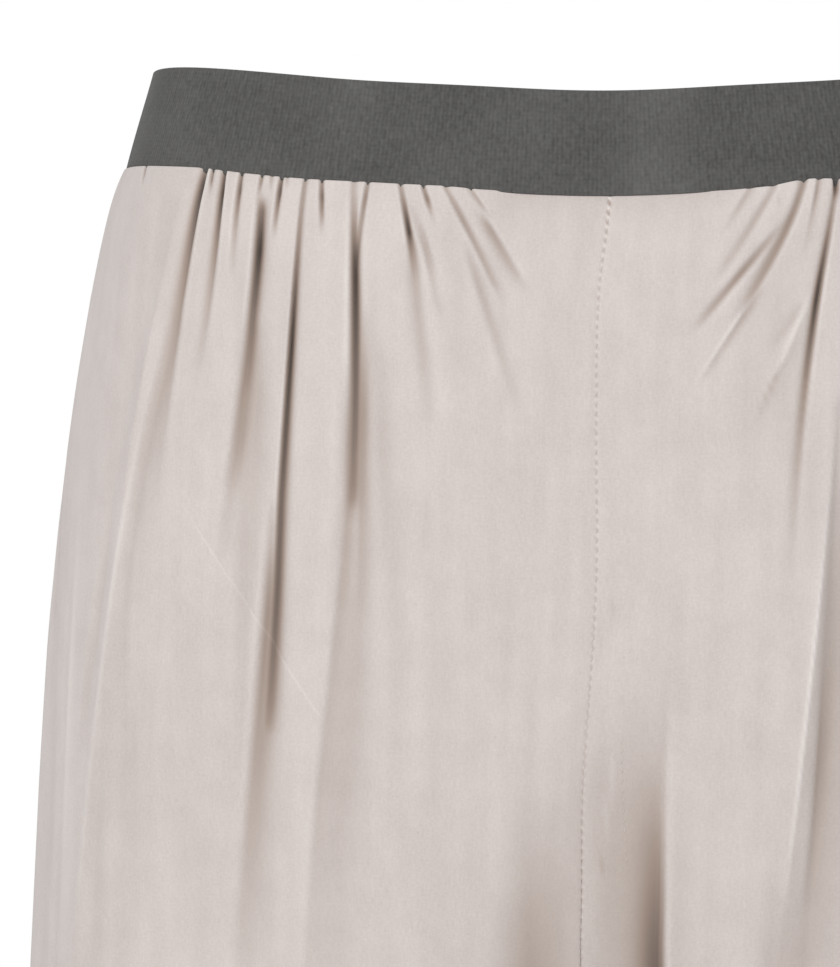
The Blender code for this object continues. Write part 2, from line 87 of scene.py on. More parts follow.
# Folds of the front. Top and low are how far across from the middle a fold lies at its two ends, bow how
# far it bends to the right halfway, start its drop below the band. Width is how far from its line it is
# half as deep, and spread how many times wider it is at its end. Depth goes in, and below 0 it is a ridge.
# Shade is the share of its light that the cloth loses inside, painted into its colour as shade, and below 0
# it gains a painted highlight. Lean above 0 makes the right flank wide and the left one steep. First is how
# strong it is at its start, peak the share of its length at which it is strongest, and fade above 1 makes it
# weaken early.
FOLD_COLUMNS = (
    "top", "low", "bow", "start", "length", "width", "spread",
    "depth", "shade", "lean", "first", "peak", "fade",
)
LEFT_FOLDS = (
    (-166, -166, 0, 0, 10, 0.72, 1, 1.0, 0.5, 0.2, 0.9, 0.3, 1.2),
    (-149, -187.5, -6, 4, 300, 4, 1.8, -2.2, 0, 0.3, 0.2, 0.25, 1),
    (-149, -187.5, -6, 30, 250, 0.8, 1.4, -0.4, -0.11, 0, 0.1, 0.5, 0.8),
    (-143, -166, -2, 0, 190, 1.2, 3.8, 2.0, 0.98, -0.4, 0.7, 0.03, 3.0),
    (-140.5, -141, 0, 0, 12, 0.6, 1, 1.0, 0.6, 0.2, 0.8, 0.3, 1.2),
    (-136, -148.5, 2, 0, 95, 0.8, 2.8, 1.7, 0.94, -0.25, 0.8, 0.08, 2),
    (-130, -132.5, 0, 0, 44, 0.68, 1.9, 1.2, 0.7, 0.2, 0.8, 0.14, 1.7),
    (-122.6, -123.6, 0, 0, 13, 0.6, 1, 0.8, 0.5, 0.2, 0.9, 0.1, 0.8),
    (-119, -119, 0, 0, 9, 0.56, 1, 0.6, 0.3, 0.2, 0.9, 0.1, 0.8),
    (-122.2, -134.4, 2.0, 5, 115, 1.42, 1.7, 2.8, 0.99, 0.45, 0.6, 0.2, 1.15),
    (-121.5, -128, 0, 50, 120, 3.6, 1.3, 1.2, 0.17, 0, 0.3, 0.3, 0.8),
    (-150.5, -172, -4, 50, 140, 2.4, 1.5, 1.2, 0.17, 0, 0.3, 0.3, 0.8),
    (-127, -137, 0, 80, 70, 1.6, 1.4, 0.9, 0.16, 0.2, 0.3, 0.3, 0.8),
    (-115.5, -117.6, 0, 0, 27, 0.66, 1.3, 1.2, 0.82, 0.2, 0.8, 0.2, 1.2),
    (-113.5, -113, 0, 0, 6, 0.56, 1, 0.7, 0.45, 0.2, 0.9, 0.3, 1),
    (-107.1, -119.1, -0.5, 0, 205, 0.72, 3.1, 2.2, 0.98, 0.6, 0.4, 0.3, 0.42),
    (-116, -132.6, 1, 115, 205, 2.4, 1.6, 2.4, 0.48, 0.4, 0.25, 0.2, 1.1),
    (-116.5, -120.5, 0, 120, 190, 4.6, 1.2, 0.8, 0.14, 0, 0, 0.35, 0.8),
    (-101, -99.5, 0, 0, 23, 0.66, 1.2, 1.1, 0.7, 0.2, 0.7, 0.25, 0.9),
    (-126, -131, 0, 48, 75, 2.6, 1.4, 1.0, 0.14, 0.2, 0.2, 0.3, 0.8),
    (-89.5, -89, 1.5, 0, 124, 1.02, 2.3, 2.5, 0.985, 0.3, 0.25, 0.28, 0.4),
    (-88.8, -90.8, 0, 60, 100, 2, 1.5, 1.2, 0.3, 0, 0.1, 0.35, 1),
    (-83.8, -85, 0, 42, 120, 1.5, 1.5, 1.0, 0.34, 0.3, 0.2, 0.35, 0.7),
    (-84.5, -97, 1.5, 105, 210, 4.4, 1.4, 1.0, 0.16, 0, 0.2, 0.35, 0.8),
    (-44, -46, 0, 225, 165, 12, 1, 0.8, 0.06, 0, 0, 0.6, 1),
    (-88, -107, 0, 100, 215, 1.4, 2, 0.9, 0.17, 0.4, 0.4, 0.25, 0.35),
    (-84.6, -88.6, 0, 0, 36, 0.62, 1.6, 1.0, 0.55, 0.2, 0.8, 0.15, 0.7),
    (-73, -65.5, 0.7, 0, 42, 0.75, 1.5, 1.9, 0.97, 0.3, 0.4, 0.4, 2.3),
    (-68.5, -59, 0, 14, 78, 1.5, 1.7, 1.0, 0.25, -0.1, 0.3, 0.2, 0.7),
    (-70, -57, 0, 3, 36, 0.96, 1.5, 0.8, 0.15, 0.2, 0.5, 0.5, 0.7),
    (-65, -59, 0, 0, 16, 0.66, 1.3, 1.0, 0.6, 0.2, 0.8, 0.3, 0.9),
    (-66, -54.5, 0, 10, 45, 0.9, 1.4, 0.6, 0.15, 0.2, 0.4, 0.3, 0.6),
    (-57, -33, 0.5, 0, 44, 0.95, 1.5, 1.0, 0.42, 0.3, 0.7, 0.27, 0.55),
    (-48, -38.5, 0, 0, 13, 0.8, 1, 0.8, 0.36, -0.3, 0.8, 0.5, 0.8),
    (-46.5, -24, 0, 5, 35, 1.5, 1.3, 1.1, 0.38, -0.35, 0.3, 0.3, 0.6),
    (-50, -27, 0.5, 17, 68, 1.3, 1.5, 0.8, 0.22, 0.2, 0.4, 0.25, 0.7),
    (-81, -70, 0, 28, 170, 2.2, 1.8, 0.9, 0.12, 0, 0.2, 0.4, 0.7),
    (-61, -62, 0, 105, 40, 1.8, 1.3, 0.6, 0.06, 0, 0.2, 0.5, 0.8),
    (-194, -199, 0, 95, 105, 2.2, 1.4, 1.0, 0.08, 0, 0.2, 0.4, 0.8),
    (-187.5, -195, 0, 125, 170, 1.8, 1.3, -0.8, -0.06, 0, 0.2, 0.4, 0.8),
    (-174, -188, 0, 118, 105, 1.9, 1.4, 1.0, 0.08, 0, 0.2, 0.4, 0.8),
    (-127, -131, 0, 120, 150, 1.7, 1.4, 0.9, 0.07, 0, 0.2, 0.3, 0.8),
    (-15, -24, 0, 205, 170, 9, 1.2, 2.2, 0.34, 0, 0, 0.5, 1),
    (-15, -15, 0, 10, 250, 0.7, 1, -0.2, 0, 0, 0.3, 0.4, 1),
    (-148, -158, 0, 0, 130, 13, 1.3, 0.3, 0.045, 0, 0.8, 0.3, 0.8),
    (-118, -121, 0, 0, 150, 14, 1.1, 0.3, 0.05, 0, 0.8, 0.3, 0.8),
    (-184, -198, 0, 5, 400, 8, 1.3, -0.2, -0.045, 0, 0.5, 0.6, 0.4),
)
RIGHT_FOLDS = (
    (51, 40, 0, 0, 19, 1.1, 1.5, 0.7, 0.22, 0.2, 0.9, 0.2, 0.6),
    (60, 37.5, 0, 0, 38, 1.1, 1.9, 0.8, 0.26, -0.2, 0.9, 0.2, 0.4),
    (61, 62, 0, 1, 10, 0.56, 1, 0.7, 0.34, 0.2, 0.6, 0.4, 0.8),
    (71, 46, 1.8, 0, 50, 1.2, 1.5, 1.4, 0.5, -0.35, 0.9, 0.3, 0.35),
    (66, 50, 0, 8, 36, 2.4, 1.2, 0.6, 0.1, -0.2, 0.3, 0.4, 0.8),
    (64, 30, 0, 12, 43, 1.3, 1.4, 1.3, 0.5, -0.2, 0.25, 0.45, 0.6),
    (59.5, 32, 0, 32, 43, 1.1, 1.4, 0.7, 0.26, 0.3, 0.3, 0.35, 0.8),
    (64, 52, 0, 62, 28, 0.96, 1.3, 0.7, 0.2, 0.2, 0.4, 0.35, 0.9),
    (76, 68, 0, 0, 36, 0.8, 1.4, 0.9, 0.36, 0.2, 0.9, 0.1, 2),
    (82, 82, 0, 0, 10, 0.8, 1, 1.4, 0.97, 0.2, 0.8, 0.3, 1),
    (82.7, 65, -3.4, 0, 168, 0.85, 2.3, 2.2, 0.97, -0.35, 0.4, 0.25, 2.0),
    (73, 52, 0, 40, 52, 2.4, 1.4, -1.4, 0, 0, 0.2, 0.4, 1),
    (74, 57, 0, 38, 26, 1.3, 1.3, 0.6, 0.12, -0.3, 0.3, 0.4, 0.6),
    (75.2, 57.5, 0, 34, 42, 0.8, 1.3, -0.4, -0.14, 0, 0.3, 0.4, 0.5),
    (56, 31, 0, 34, 41, 0.6, 1.3, -0.35, -0.12, 0, 0.4, 0.4, 0.5),
    (81.6, 63.6, 0, 82, 205, 1.7, 1.3, -1.8, 0, 0, 0.2, 0.4, 0.8),
    (82.7, 65.1, 0, 80, 182, 0.55, 1.4, -0.35, -0.2, 0, 0.4, 0.5, 0.5),
    (84, 72.2, 0, 74, 244, 4, 1.4, 2.2, 0.22, 0.55, 0.45, 0.45, 0.7),
    (79, 72, 1, 170, 95, 1.52, 1.6, 0.8, 0.2, 0.6, 0.2, 0.4, 0.7),
    (92, 84, 0, 110, 220, 10, 1.4, 2, 0.09, 0.2, 0.1, 0.5, 1),
    (72, 70, 0, 210, 160, 6, 1.2, 1.2, 0.14, 0, 0, 0.5, 1),
    (66, 55, 0, 5, 120, 8, 1.3, 0.5, 0.065, 0, 0.4, 0.4, 0.8),
    (9, 13, 0, 180, 190, 8, 1, 0.6, 0.09, 0, 0, 0.5, 1),
    (32, 34, 0, 190, 180, 5, 1, 0.5, 0.06, 0, 0, 0.4, 1),
    (64, 62, 0, 225, 130, 5, 1.3, 1.5, 0.1, 0, 0, 0.5, 1),
    (25, 26.3, 0, 165, 200, 12, 1, 1.2, 0.25, -0.9, 0, 0.35, 1),
    (23.4, 26.2, 0.4, 196, 160, 3.7, 1.2, 4.0, 0.75, -0.7, 0, 0.6, 1),
    (45, 50, 0, 150, 190, 14, 1.2, -2, 0, 0, 0, 0.5, 1),
    (10.2, 6, 0, 194, 50, 0.7, 1.2, -0.4, -0.13, 0.4, 0.3, 0.5, 0.8),
    (7.2, 1.2, 0, 264, 18, 0.6, 1, -0.4, -0.13, 0, 0.4, 0.5, 0.8),
    (5.8, 5.8, 0, 237, 13, 0.7, 1, 0.5, 0.27, 0.2, 0.3, 0.5, 1),
    (4, 7, 0.5, 144, 16, 0.7, 1, 0.4, 0.13, 0, 0.3, 0.5, 0.8),
)
MIRRORED_BEYOND, MIRRORED_SHIFT, MIRRORED_DEPTH = 95, 3, 0.92

VALLEY_POWER, SHADOW_POWER = 1.5, 2.1
# RIM_LIGHT is the painted highlight on the fine rim beside a fold's steep flank.
RIM_PLACE, RIM_WIDTH, RIM_LIGHT, RIM_RISE = 2.3, 0.9, 0.10, 0.08
TOP_DEPTH, TOP_DROP = 0.4, 0.007  # how much of its depth a fold has at the seam, and where it has it all
WIGGLE, WIGGLE_LENGTH = 0.0006, 0.055
WIGGLE_UNEVEN, WIGGLE_SHIFT = 0.3, 2.4  # from one fold to the next
END_FADE, START_FADE = 0.012, 0.008
FAR = 9  # half widths past which a fold has no effect

FLAT_PUFF, GATHERED_PUFF, PUFF_DROP = 0.0006, 0.0030, 0.008
FLAT_TURN, FLAT_FADE = 0.08, 0.10

# Soft flutes that the legs fall into, from where they start to the hem.
FLUTE_COLUMNS = ("turn_top", "turn_hem", "start", "width", "depth")
FLUTES = (
    (0.20, 0.26, 400, 22, -8.0), (0.42, 0.40, 300, 20, 10.0), (0.58, 0.60, 330, 19, -9.0),
    (0.76, 0.78, 260, 18, 9.0), (0.95, 0.94, 420, 20, -6.0), (1.16, 1.15, 280, 19, 8.5),
    (1.36, 1.38, 360, 20, -8.5), (1.55, 1.57, 240, 20, 10.0), (1.76, 1.74, 400, 21, -8.0),
)
FLUTE_FULL_DROP = 900

# The back's gathers and the soft swells, spread by rules with an uneven step. A size is its least, and
# what the random numbers from 0 to 1 for width, depth and length add to it.
BACK_GATHERS = 26
BACK_FIRST_TURN, BACK_LAST_TURN = 0.985, 1.965
BACK_UNEVEN, BACK_LEAN = 0.7, 0.7
BACK_OUTWARD, BACK_OUTWARD_LENGTH = 0.04, 200  # how far a gather of this length leads outward
BACK_LENGTH, BACK_LENGTH_MORE, BACK_LENGTH_POWER = 12, 290, 2.2
BACK_SIZES = {
    "width": (0.8, 0.5, 0, 0.4), "spread": (1.2, 0, 0, 1.6), "depth": (1.8, 0, 1.4, 3.2),
    "shade": (0.35, 0, 0.5, 0), "first": (0.8, 0, 0, -0.5), "fade": (0.8, 1.8, 0, 0),
}
UNEVEN_SEED = 11
SOFT_FOLDS, SOFT_DEPTH, SOFT_SEED = 84, 0.75, 5
SOFT_START, SOFT_START_MORE = 20, 160
SOFT_SIZES = {"length": (110, 0, 0, 420), "width": (3, 7, 0, 0)}
SOFT_WIDTH_POWER, SOFT_SHADE, SOFT_DRIFT = 1.5, 0.03, 0.05

# The seam under the band, where the cloth's allowance lies behind the elastic and its edge puffs out
# over the band's lower edge, and the turned hem.
ROLL_ROWS = 6
ROLL_LEAST, ROLL_MOST, EDGE_RISE, EDGE_NICK = 0.00020, 0.00055, 0.9, 0.3
FOLD_FLATTENS = 1.3  # above 1, the puff is gone before all light is lost
# UNDER_SHADE is painted shade on the flat cloth just under the band's lower edge.
TUCK, FLAT_TUCK, UNDER_SHADE = 0.0003, 0.0006, 0.12
ALLOWANCE, ALLOWANCE_INSET = 0.008, 0.0024
HEM_ROUND, HEM_ALLOWANCE = 0.0004, 0.018
# How far across from the middle, and how far the front's puffed edge stands there over the band's edge.
EDGE = (
    (-176, -0.3), (-160, 0.1), (-145, 0.7), (-130, 0.2), (-115, 0.1), (-101, 0.3), (-87, 0.6), (-73, 0.5),
    (-59, 0.45), (-45, 0), (-31, 0.9), (0, 0), (33, -0.2), (45, -0.4), (52, -0.2), (59, 0.15),
    (66, 1.35), (70, 2), (76, 2.1), (81, 1.7), (100, 1.2), (130, 0.8), (176, 0),
)
GROOVE_DEPTH, GROOVE_WIDTH = 0.0003, 0.0010

# How the panels' rows and columns are spread.
FAN_DROP, FINE_DROP = 0.070, 0.31  # down to these the rows lie closest, and close
UPPER_SPREAD, LEG_SPREAD = 1.15, 1.25  # above 1, rows lie further apart lower down
HEM_ROWS, BEHIND_END = 4, 0.0005
FLAT_CROWD, GATHER_CROWD, MIDDLE_CROWD, SIDE_CROWD, CROWD_REACH = 0.5, 0.9, 4, 3, 0.004
GATHERS_FROM, GATHERS_FULL_IN, THIN_FROM, THIN_IN, THIN_SHARE = 0.05, 0.08, 0.80, 0.10, 0.5
TURN_POINTS, RUN_POINTS, CROWD_POINTS = 400, 200, 4001  # how finely an oval, a run and a density are followed
FRONT_GRID = (585, 78, 44, 26)  # columns, then rows down to FAN_DROP, down to FINE_DROP and to the hem


def smooth_step(x):
    """0 below 0, 1 above 1, and 3x^2 - 2x^3 between."""
    x = np.clip(x, 0, 1)
    return x * x * (3 - 2 * x)


def unit(vectors):
    """Vectors over their own lengths."""
    return vectors / np.maximum(np.linalg.norm(vectors, axis=-1, keepdims=True), 1e-12)


def curve_through(rows, names, name, level):
    """A cubic through one column of a table, whose slope at each row is that of its neighbours."""
    data = np.array(rows, float)[::-1] * MM
    knots, values = data[:, 0], data[:, names.index(name)]
    slopes = np.gradient(values, knots)
    level = np.clip(level, knots[0], knots[-1])
    i = np.clip(np.searchsorted(knots, level) - 1, 0, len(knots) - 2)
    span = knots[i + 1] - knots[i]
    t = (level - knots[i]) / span
    start = values[i] * (1 + 2 * t) * (1 - t) ** 2 + slopes[i] * span * t * (1 - t) ** 2
    end = values[i + 1] * t**2 * (3 - 2 * t) + slopes[i + 1] * span * t**2 * (t - 1)
    return start + end


def section(name, level):
    """One size of the smooth form at these levels."""
    return curve_through(SECTIONS, SECTION_COLUMNS, name, level)


def half_and_depth(level, facing):
    """The half width and the depth of a face of the smooth form at these levels."""
    return section("half_width", level), section("front" if facing == FRONT else "back", level)


def oval(angle):
    """Across and forward shares of a slightly squared oval: sine and cosine with a third harmonic."""
    across = (np.sin(angle) + SQUARENESS * np.sin(3 * angle)) / (1 - SQUARENESS)
    forward = (np.cos(angle) - SQUARENESS * np.cos(3 * angle)) / (1 - SQUARENESS)
    return across, forward


def front_dip(across):
    """How far the front hangs at this share of the half width: a parabola less a low sine wave."""
    lift = GATHER_LIFT * np.sin(math.pi * np.minimum(np.abs(across) / LIFT_END, 1)) ** 2
    return FRONT_DIP * (1 - across**2) - lift


def smooth_form(share, level, side, facing):
    """Points of a face before any fold.

    A quarter of the body's oval above the thighs, half of a leg's oval below them, and a blend between
    that follows a squared ellipse at the centre seam, where the cloth turns under.
    """
    half, depth = half_and_depth(level, facing)
    inner, inner_y = section("inner", level), section("inner_y", level)
    angle = share * math.pi / 2
    across, forward = oval(angle)
    turned = np.arcsin(np.clip(2 * np.sin(angle) - 1, -1, 1))
    evened = smooth_step((EVEN_START - level) / (EVEN_START - EVEN_END))
    turned = turned + (math.pi * (share - 0.5) - turned) * evened
    leg_across, leg_forward = oval(turned)
    under = np.clip((CURVE_START[facing] - level) / (CURVE_START[facing] - CROTCH_LEVEL), 0, 1)
    under = 1 - (1 - under ** CURVE_POWER[facing]) ** (1 / CURVE_POWER[facing])
    thigh = smooth_step((THIGH_START - level) / (THIGH_START - THIGH_END))
    leg = thigh + (under - thigh) * (1 - share) ** SEAM_HOLD
    x = (1 - leg) * half * across + leg * ((half + inner) / 2 + (half - inner) / 2 * leg_across)
    y = facing * depth * ((1 - leg) * forward + leg * leg_forward)
    y = y + leg * inner_y * (1 - leg_forward) * (1 - np.sin(turned)) / 2
    x, z = side * x, level + 0 * share
    if facing == FRONT:
        x = x + curve_through(SEAM_ROUTE, SEAM_COLUMNS, "off_middle", level) * (1 - share) ** ROUTE_HOLD
        held = np.clip((level - HEM_LEVEL) / (-BAND_HALF_HEIGHT - HEM_LEVEL), 0, 1)
        z = z - front_dip(across) * held * (1 - leg)
    return np.stack([x, y, z], axis=-1)


def turn_of(across, level):
    """The turn at which the smooth front lies this far across, for each level."""
    angles = np.linspace(0, math.pi / 2, TURN_POINTS)
    share = np.interp(np.abs(across) / section("half_width", level), oval(angles)[0], angles * 2 / math.pi)
    return np.sign(across) * share


def front_folds():
    """Each fold of the front as its turn down the levels, and its sizes. The outer ones are mirrored."""
    rows = [dict(zip(FOLD_COLUMNS, row)) for row in LEFT_FOLDS + RIGHT_FOLDS]
    for row in LEFT_FOLDS:
        fold = dict(zip(FOLD_COLUMNS, row))
        if -fold["top"] >= MIRRORED_BEYOND:
            fold["top"], fold["low"] = MIRRORED_SHIFT - fold["top"], MIRRORED_SHIFT - fold["low"]
            fold["bow"], fold["lean"] = -fold["bow"], -fold["lean"]
            fold["depth"] = fold["depth"] * MIRRORED_DEPTH
            rows.append(fold)
    for fold in rows:
        def turn_at(level, down, fold=fold):
            across = fold["top"] + (fold["low"] - fold["top"]) * down + fold["bow"] * 4 * down * (1 - down)
            return turn_of(across * MM, level)
        yield turn_at, fold


def drawn_sizes(sizes, wide, deep, long):
    """Each size as its least and what the random numbers for width, depth and length add to it."""
    return {
        name: least + by_width * wide + by_depth * deep + by_length * long
        for name, (least, by_width, by_depth, by_length) in sizes.items()
    }


def back_folds():
    """The gathers of the back, from a seeded rule: uneven in spacing, length, width, depth and lean."""
    uneven = np.random.default_rng(UNEVEN_SEED)
    for side in (LEFT, RIGHT):
        for number in range(BACK_GATHERS):
            step, long, wide, deep, drift = uneven.random(5)
            place = (number + BACK_UNEVEN * (step - 0.5)) / (BACK_GATHERS - 1)
            turn = BACK_FIRST_TURN + (BACK_LAST_TURN - BACK_FIRST_TURN) * place
            fold = drawn_sizes(BACK_SIZES, wide, deep, long)
            fold["length"] = BACK_LENGTH + BACK_LENGTH_MORE * long**BACK_LENGTH_POWER
            fold.update(start=0, lean=BACK_LEAN * (drift - 0.5), peak=0.22, uneven=1)
            outward = BACK_OUTWARD * (2 * turn - 3) * (0.5 + drift) * fold["length"] / BACK_OUTWARD_LENGTH
            def turn_at(level, down, side=side, turn=turn, outward=outward):
                return side * (turn - outward * down) + 0 * level
            yield turn_at, fold


def soft_folds():
    """Broad, low swells and hollows all round, from a seeded rule, each running mostly down."""
    uneven = np.random.default_rng(SOFT_SEED)
    for number in range(SOFT_FOLDS):
        place, drift, start, long, wide, deep = uneven.random(6)
        turn = 4 * (number + place) / SOFT_FOLDS - 2
        fold = drawn_sizes(SOFT_SIZES, wide**SOFT_WIDTH_POWER, deep, long)
        fold["start"] = SOFT_START + SOFT_START_MORE * start
        fold["depth"] = SOFT_DEPTH * (0.5 + deep) * (-1) ** number
        fold["shade"] = SOFT_SHADE * (number % 2 == 0)
        fold.update(spread=1.5, lean=drift - 0.5, first=0.0, peak=0.4, fade=1.0, uneven=2)
        def turn_at(level, down, turn=turn, drift=drift):
            return turn + SOFT_DRIFT * (drift - 0.5) * down + 0 * level
        yield turn_at, fold


FOLDS = {FRONT: list(front_folds()), BACK: list(back_folds()) + list(soft_folds())}


def gathered_share(turn):
    """0 in the flat middle of a face and 1 among its gathers."""
    return smooth_step((np.abs(turn) - FLAT_TURN) / FLAT_FADE)


def cloth_field(turn, level, speed):
    """How far the cloth stands out, and the share of light that it loses inside its folds, painted as shade.

    A fold's cross-section is exp(-ln 2 |q|^1.5), where q is the distance from its line in its own
    half widths, and its painted shade is steeper. Beside its steep flank the cloth stands up in a fine rim
    with a painted highlight.
    Its strength grows to its peak and then falls as a power of what is left of its length.
    Flutes are Gaussians that grow down the legs.
    """
    drop = -BAND_HALF_HEIGHT - level
    puff = FLAT_PUFF + (GATHERED_PUFF - FLAT_PUFF) * gathered_share(turn)
    out = puff * (1 - np.exp(-np.maximum(drop, 0) / PUFF_DROP))
    light = 1 + 0 * out
    held = TOP_DEPTH + (1 - TOP_DEPTH) * smooth_step(drop / TOP_DROP)
    for number, (turn_at, fold) in enumerate(FOLDS[FRONT] + FOLDS[BACK]):
        down = (drop / MM - fold["start"]) / fold["length"]
        within = np.clip(down, 0, 1)
        width = fold["width"] * MM * (1 + (fold["spread"] - 1) * within)
        phase = drop / WIGGLE_LENGTH * (1 + WIGGLE_UNEVEN * np.sin(number)) + WIGGLE_SHIFT * number
        wiggle = WIGGLE * fold.get("uneven", 0) * np.sin(phase) * within
        d = (turn - turn_at(level, within)) * speed - wiggle
        lean, peak = fold["lean"], fold["peak"]
        q = np.abs(d / (width * np.where(d > 0, 1 + lean, 1 - lean)))
        steep = d / width / ((1 + lean) if lean < 0 else (lean - 1))
        grow = fold["first"] + (1 - fold["first"]) * smooth_step(down / peak)
        left = np.clip((1 - down) / (1 - peak), 0, 1)
        strength = np.where(down < peak, grow, left ** fold["fade"]) * (down >= 0) * (down <= 1)
        strength = strength * smooth_step((1 - down) * fold["length"] * MM / END_FADE)
        if fold["start"] > 0:
            strength = strength * smooth_step((drop - fold["start"] * MM) / START_FADE)
        valley = strength * np.exp(-math.log(2) * np.minimum(q, FAR) ** VALLEY_POWER)
        shadow = strength * np.exp(-math.log(2) * np.minimum(q, FAR) ** SHADOW_POWER)
        rim = np.exp(-(np.clip((steep - RIM_PLACE) / RIM_WIDTH, -FAR, FAR) ** 2))
        rim = strength * rim * (fold["shade"] > 0)
        out = out - fold["depth"] * MM * held * (valley - RIM_RISE * rim)
        light = light * (1 - fold["shade"] * (shadow - RIM_LIGHT * rim))
    for side in (LEFT, RIGHT):
        for row in FLUTES:
            flute = dict(zip(FLUTE_COLUMNS, row))
            grown = smooth_step((drop / MM - flute["start"]) / (FLUTE_FULL_DROP - flute["start"]))
            middle = flute["turn_top"] + (flute["turn_hem"] - flute["turn_top"]) * grown
            q = (turn - side * middle) * speed / (flute["width"] * MM)
            out = out - flute["depth"] * MM * grown * np.exp(-q * q)
    return out, 1 - light


def panel_surface(share, level, side, facing, rolled=math.pi, inset=0.0):
    """Points of the cloth's outer face, and the share of light lost in each.

    Folds move the cloth level, along the body's own oval above the crotch and along the leg's below.
    At the top edge, rolled goes from 0 to pi round a small half circle, from behind the band over its
    lower edge, and it stands lower in each fold. Along the seams the cloth dips into a fine groove.
    """
    points = smooth_form(share, level, side, facing)
    ahead, behind = np.minimum(share + SHARE_STEP, 1), np.maximum(share - SHARE_STEP, 0)
    round_body = smooth_form(ahead, level, side, facing) - smooth_form(behind, level, side, facing)
    round_body = round_body / (ahead - behind)[..., None]
    higher = np.minimum(level + LEVEL_STEP, BAND_HALF_HEIGHT)
    lower = np.maximum(level - LEVEL_STEP, HEM_LEVEL)
    downward = smooth_form(share, lower, side, facing) - smooth_form(share, higher, side, facing)
    normal = unit(np.cross(unit(round_body), unit(downward))) * side * facing
    speed = np.linalg.norm(round_body, axis=-1)
    turn = side * (share if facing == FRONT else 2 - share)
    across, forward = oval(share * math.pi / 2)
    half, depth = half_and_depth(level, facing)
    body_out = unit(np.stack([side * across / half, facing * forward / depth, 0 * share], axis=-1))
    leg_out = unit(normal * np.array([1, 1, 0]))
    on_leg = smooth_step((CROTCH_LEVEL - level) / LEG_OUT_FADE)[..., None]
    out_way = unit(body_out * (1 - on_leg) + leg_out * on_leg)
    out, lost = cloth_field(turn, np.minimum(level, -BAND_HALF_HEIGHT), speed)
    low = smooth_step((CROTCH_LEVEL + CROTCH_CALM - level) / CROTCH_CALM)
    calm = 1 - low * (1 - smooth_step(share / INSEAM_CALM))
    out, lost = out * calm, lost * calm
    gathered = gathered_share(turn)
    puffed = gathered * (1 - np.clip(FOLD_FLATTENS * lost, 0, 1))
    roll = ROLL_LEAST + (ROLL_MOST - ROLL_LEAST) * puffed
    fade = np.exp(-np.maximum(-BAND_HALF_HEIGHT - level, 0) / PUFF_DROP)
    out = out + (roll * (1 - np.cos(rolled)) - TUCK - FLAT_TUCK * (1 - puffed)) * fade - inset
    # Painted shade just under the band's lower edge, where the cloth lies flat.
    lost = lost + UNDER_SHADE * fade * (1 - puffed) * (1 - np.clip(lost, 0, 1))
    for edge in (share, 1 - share):
        out = out - GROOVE_DEPTH * np.exp(-((edge * speed / GROOVE_WIDTH) ** 2))
    points = points + out[..., None] * out_way
    rise = EDGE_RISE * puffed
    if facing == FRONT:
        nick = 1 - EDGE_NICK * np.clip(FOLD_FLATTENS * lost, 0, 1)
        rise = np.interp(side * across * half / MM, *np.array(EDGE).T) * nick * gathered
    points[..., 2] += roll * puffed * np.sin(rolled) + rise * MM * fade * (rolled > 0)
    return points, lost


def body_run(share, level, facing):
    """How far round the body's oval from its middle these shares lie: the running sum of its chords."""
    across, forward = oval(share * math.pi / 2)
    half, depth = half_and_depth(level, facing)
    steps = np.hypot(np.diff(half * across), np.diff(depth * forward))
    return np.concatenate([0 * share[..., :1], np.cumsum(steps, axis=-1)], axis=-1)


def crowded(count, density):
    """Shares from 0 to 1 at equal steps of the running sum of a density."""
    x = np.linspace(0, 1, CROWD_POINTS)
    total = np.concatenate([[0], np.cumsum((density(x[1:]) + density(x[:-1])) / 2)])
    return np.interp(np.linspace(0, total[-1], count + 1), total, x)


def seam_and_gathers(x):
    """Columns lie close at both seams, and closer among the gathers than in the flat middle."""
    thinner = 1 - THIN_SHARE * smooth_step((x - THIN_FROM) / THIN_IN)
    gathers = smooth_step((x - GATHERS_FROM) / GATHERS_FULL_IN) * thinner
    seams = MIDDLE_CROWD * np.exp(-x / CROWD_REACH), SIDE_CROWD * np.exp(-(1 - x) / CROWD_REACH)
    return FLAT_CROWD + GATHER_CROWD * gathers + seams[0] + seams[1]


def cell_corners(index):
    """The four corners of each cell in a grid of point numbers, taken round the cell."""
    corners = (index[..., :-1, :-1], index[..., :-1, 1:], index[..., 1:, 1:], index[..., 1:, :-1])
    return np.stack(corners, axis=-1).reshape(-1, 4)


def linked(name, data):
    """A new object in the scene, at the origin."""
    made = bpy.data.objects.new(name, data)
    bpy.context.scene.collection.objects.link(made)
    return made


def grid_object(name, points, material, uv, lost=None):
    """A mesh from a grid of points, with its UV map in metres and the share of light lost in each point.

    Where the UV grid has a row and a column more than the points, the mesh closes on itself there.
    """
    rows, columns = points.shape[:2]
    index = np.arange(rows * columns).reshape(rows, columns)
    index = np.pad(index, ((0, uv.shape[0] - rows), (0, uv.shape[1] - columns)), "wrap")
    mesh = bpy.data.meshes.new(name)
    mesh.from_pydata(points.reshape(-1, 3), [], cell_corners(index))
    layer = mesh.uv_layers.new(name="cloth")
    corner_uv = np.stack([uv[:-1, :-1], uv[:-1, 1:], uv[1:, 1:], uv[1:, :-1]], axis=2)
    layer.data.foreach_set("uv", corner_uv.astype(np.float32).ravel())
    if lost is not None:
        losses = mesh.attributes.new("light_lost", "FLOAT", "POINT")
        losses.data.foreach_set("value", lost.astype(np.float32).ravel())
    mesh.materials.append(material)
    mesh.shade_smooth()
    return linked(name, mesh)


